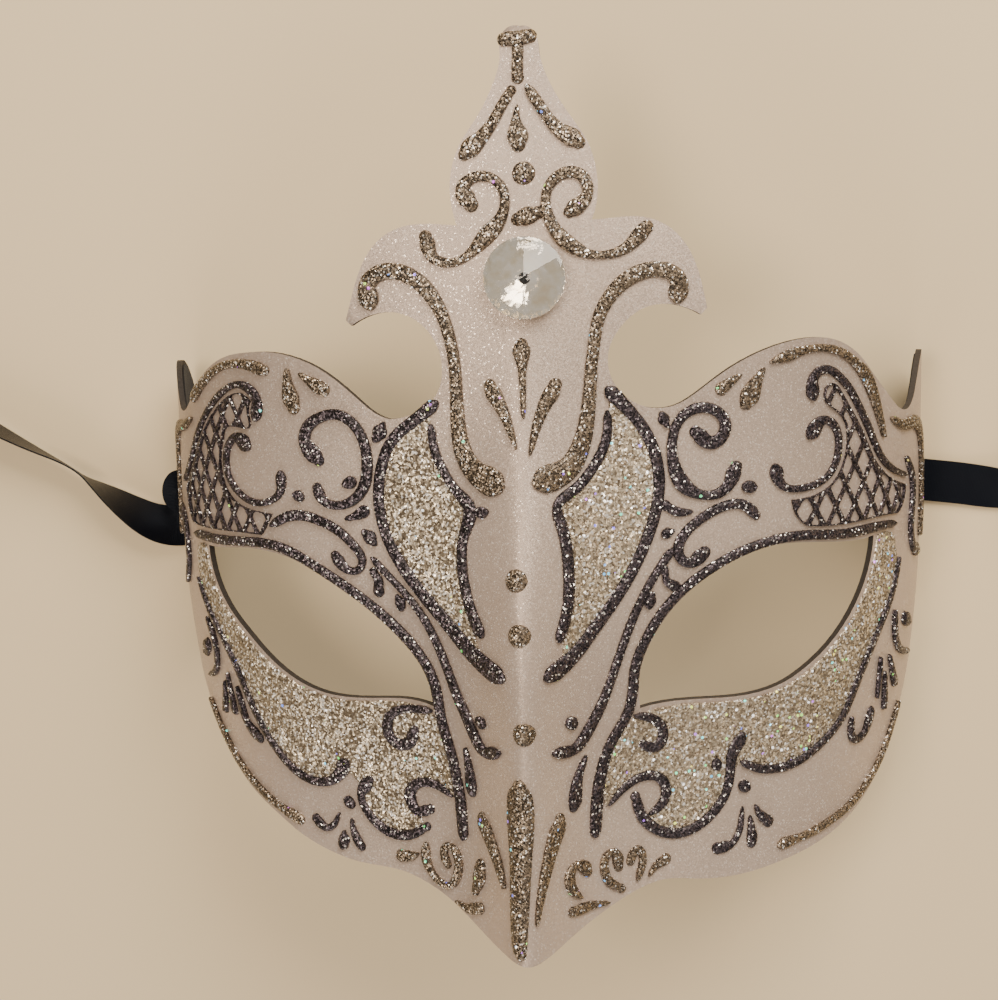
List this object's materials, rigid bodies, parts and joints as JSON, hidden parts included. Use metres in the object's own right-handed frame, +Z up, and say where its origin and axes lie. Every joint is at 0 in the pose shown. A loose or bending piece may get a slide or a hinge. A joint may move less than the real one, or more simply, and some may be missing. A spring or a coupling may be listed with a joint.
{
  "type": "masquerade mask",
  "caption": "Venetian half mask in pearl paint with raised silver and pewter scrolls, glitter panels, a crest with a crystal, and black tie ribbons.",
  "frame": {"origin": "centre of the bottom of the box around the mask without its ribbons; the mask lies on its back on the rear edges of its temples", "axes": "+Z up, out of the front of the face; +Y from the nose towards the crest; +X towards the right of someone who looks at the front"},
  "size_m": [0.4235, 0.187, 0.0918],
  "materials": {
    "pearl_paint": "satin pearl paint over a moulded shell",
    "black_lining": "matt black flock",
    "crystal_glass": "clear faceted crystal",
    "mirror_foil": "bright foil",
    "clear_glue": "set clear glue",
    "champagne_glitter": "fine champagne glitter film with coloured flakes",
    "silver_glitter": "raised silver glitter line",
    "pewter_glitter": "raised dark pewter glitter line",
    "black_felt": "black felt patch",
    "black_thread": "black thread band",
    "black_satin": "black satin ribbon with a navy sheen"
  },
  "bodies": {
    "root": {"branch_left": "pewter_glitter", "branch_right": "pewter_glitter", "cheek_curl_left": "pewter_glitter", "cheek_curl_right": "pewter_glitter", "cheek_panel_left": "champagne_glitter", "cheek_panel_right": "champagne_glitter", "cheek_rim_left": "pewter_glitter", "cheek_rim_right": "pewter_glitter", "crystal": "crystal_glass", "crystal_foil": "mirror_foil", "crystal_pad": "clear_glue", "eye_rim_left": "pewter_glitter", "eye_rim_right": "pewter_glitter", "eyebrow_left": "pewter_glitter", "eyebrow_right": "pewter_glitter", "inner_lining": "black_lining", "line_left": "pewter_glitter", "line_right": "pewter_glitter", "mask_shell": "pearl_paint", "net_left": "pewter_glitter", "net_right": "pewter_glitter", "net_scroll_left": "pewter_glitter", "net_scroll_right": "pewter_glitter", "petal_panel_left": "champagne_glitter", "petal_panel_right": "champagne_glitter", "petal_rim_left": "pewter_glitter", "petal_rim_right": "pewter_glitter", "ribbon_coil_left": "black_satin", "ribbon_coil_right": "black_satin", "ribbon_left": "black_satin", "ribbon_patch_left": "black_felt", "ribbon_patch_right": "black_felt", "ribbon_right": "black_satin", "ribbon_root_left": "black_satin", "ribbon_root_right": "black_satin", "ribbon_tie_left": "black_thread", "ribbon_tie_right": "black_thread", "silver_brow_left": "silver_glitter", "silver_brow_right": "silver_glitter", "silver_cheek_left": "silver_glitter", "silver_cheek_right": "silver_glitter", "silver_chin_left": "silver_glitter", "silver_chin_right": "silver_glitter", "silver_crest_tip": "silver_glitter", "silver_dots": "silver_glitter", "silver_fleur": "silver_glitter", "silver_hook_left": "silver_glitter", "silver_hook_right": "silver_glitter", "silver_nose": "silver_glitter", "silver_scroll_left": "silver_glitter", "silver_scroll_right": "silver_glitter", "silver_temple_left": "silver_glitter", "silver_temple_right": "silver_glitter", "spiral_left": "pewter_glitter", "spiral_right": "pewter_glitter", "sprig_left": "pewter_glitter", "sprig_right": "pewter_glitter"}
  },
  "joints": []
}
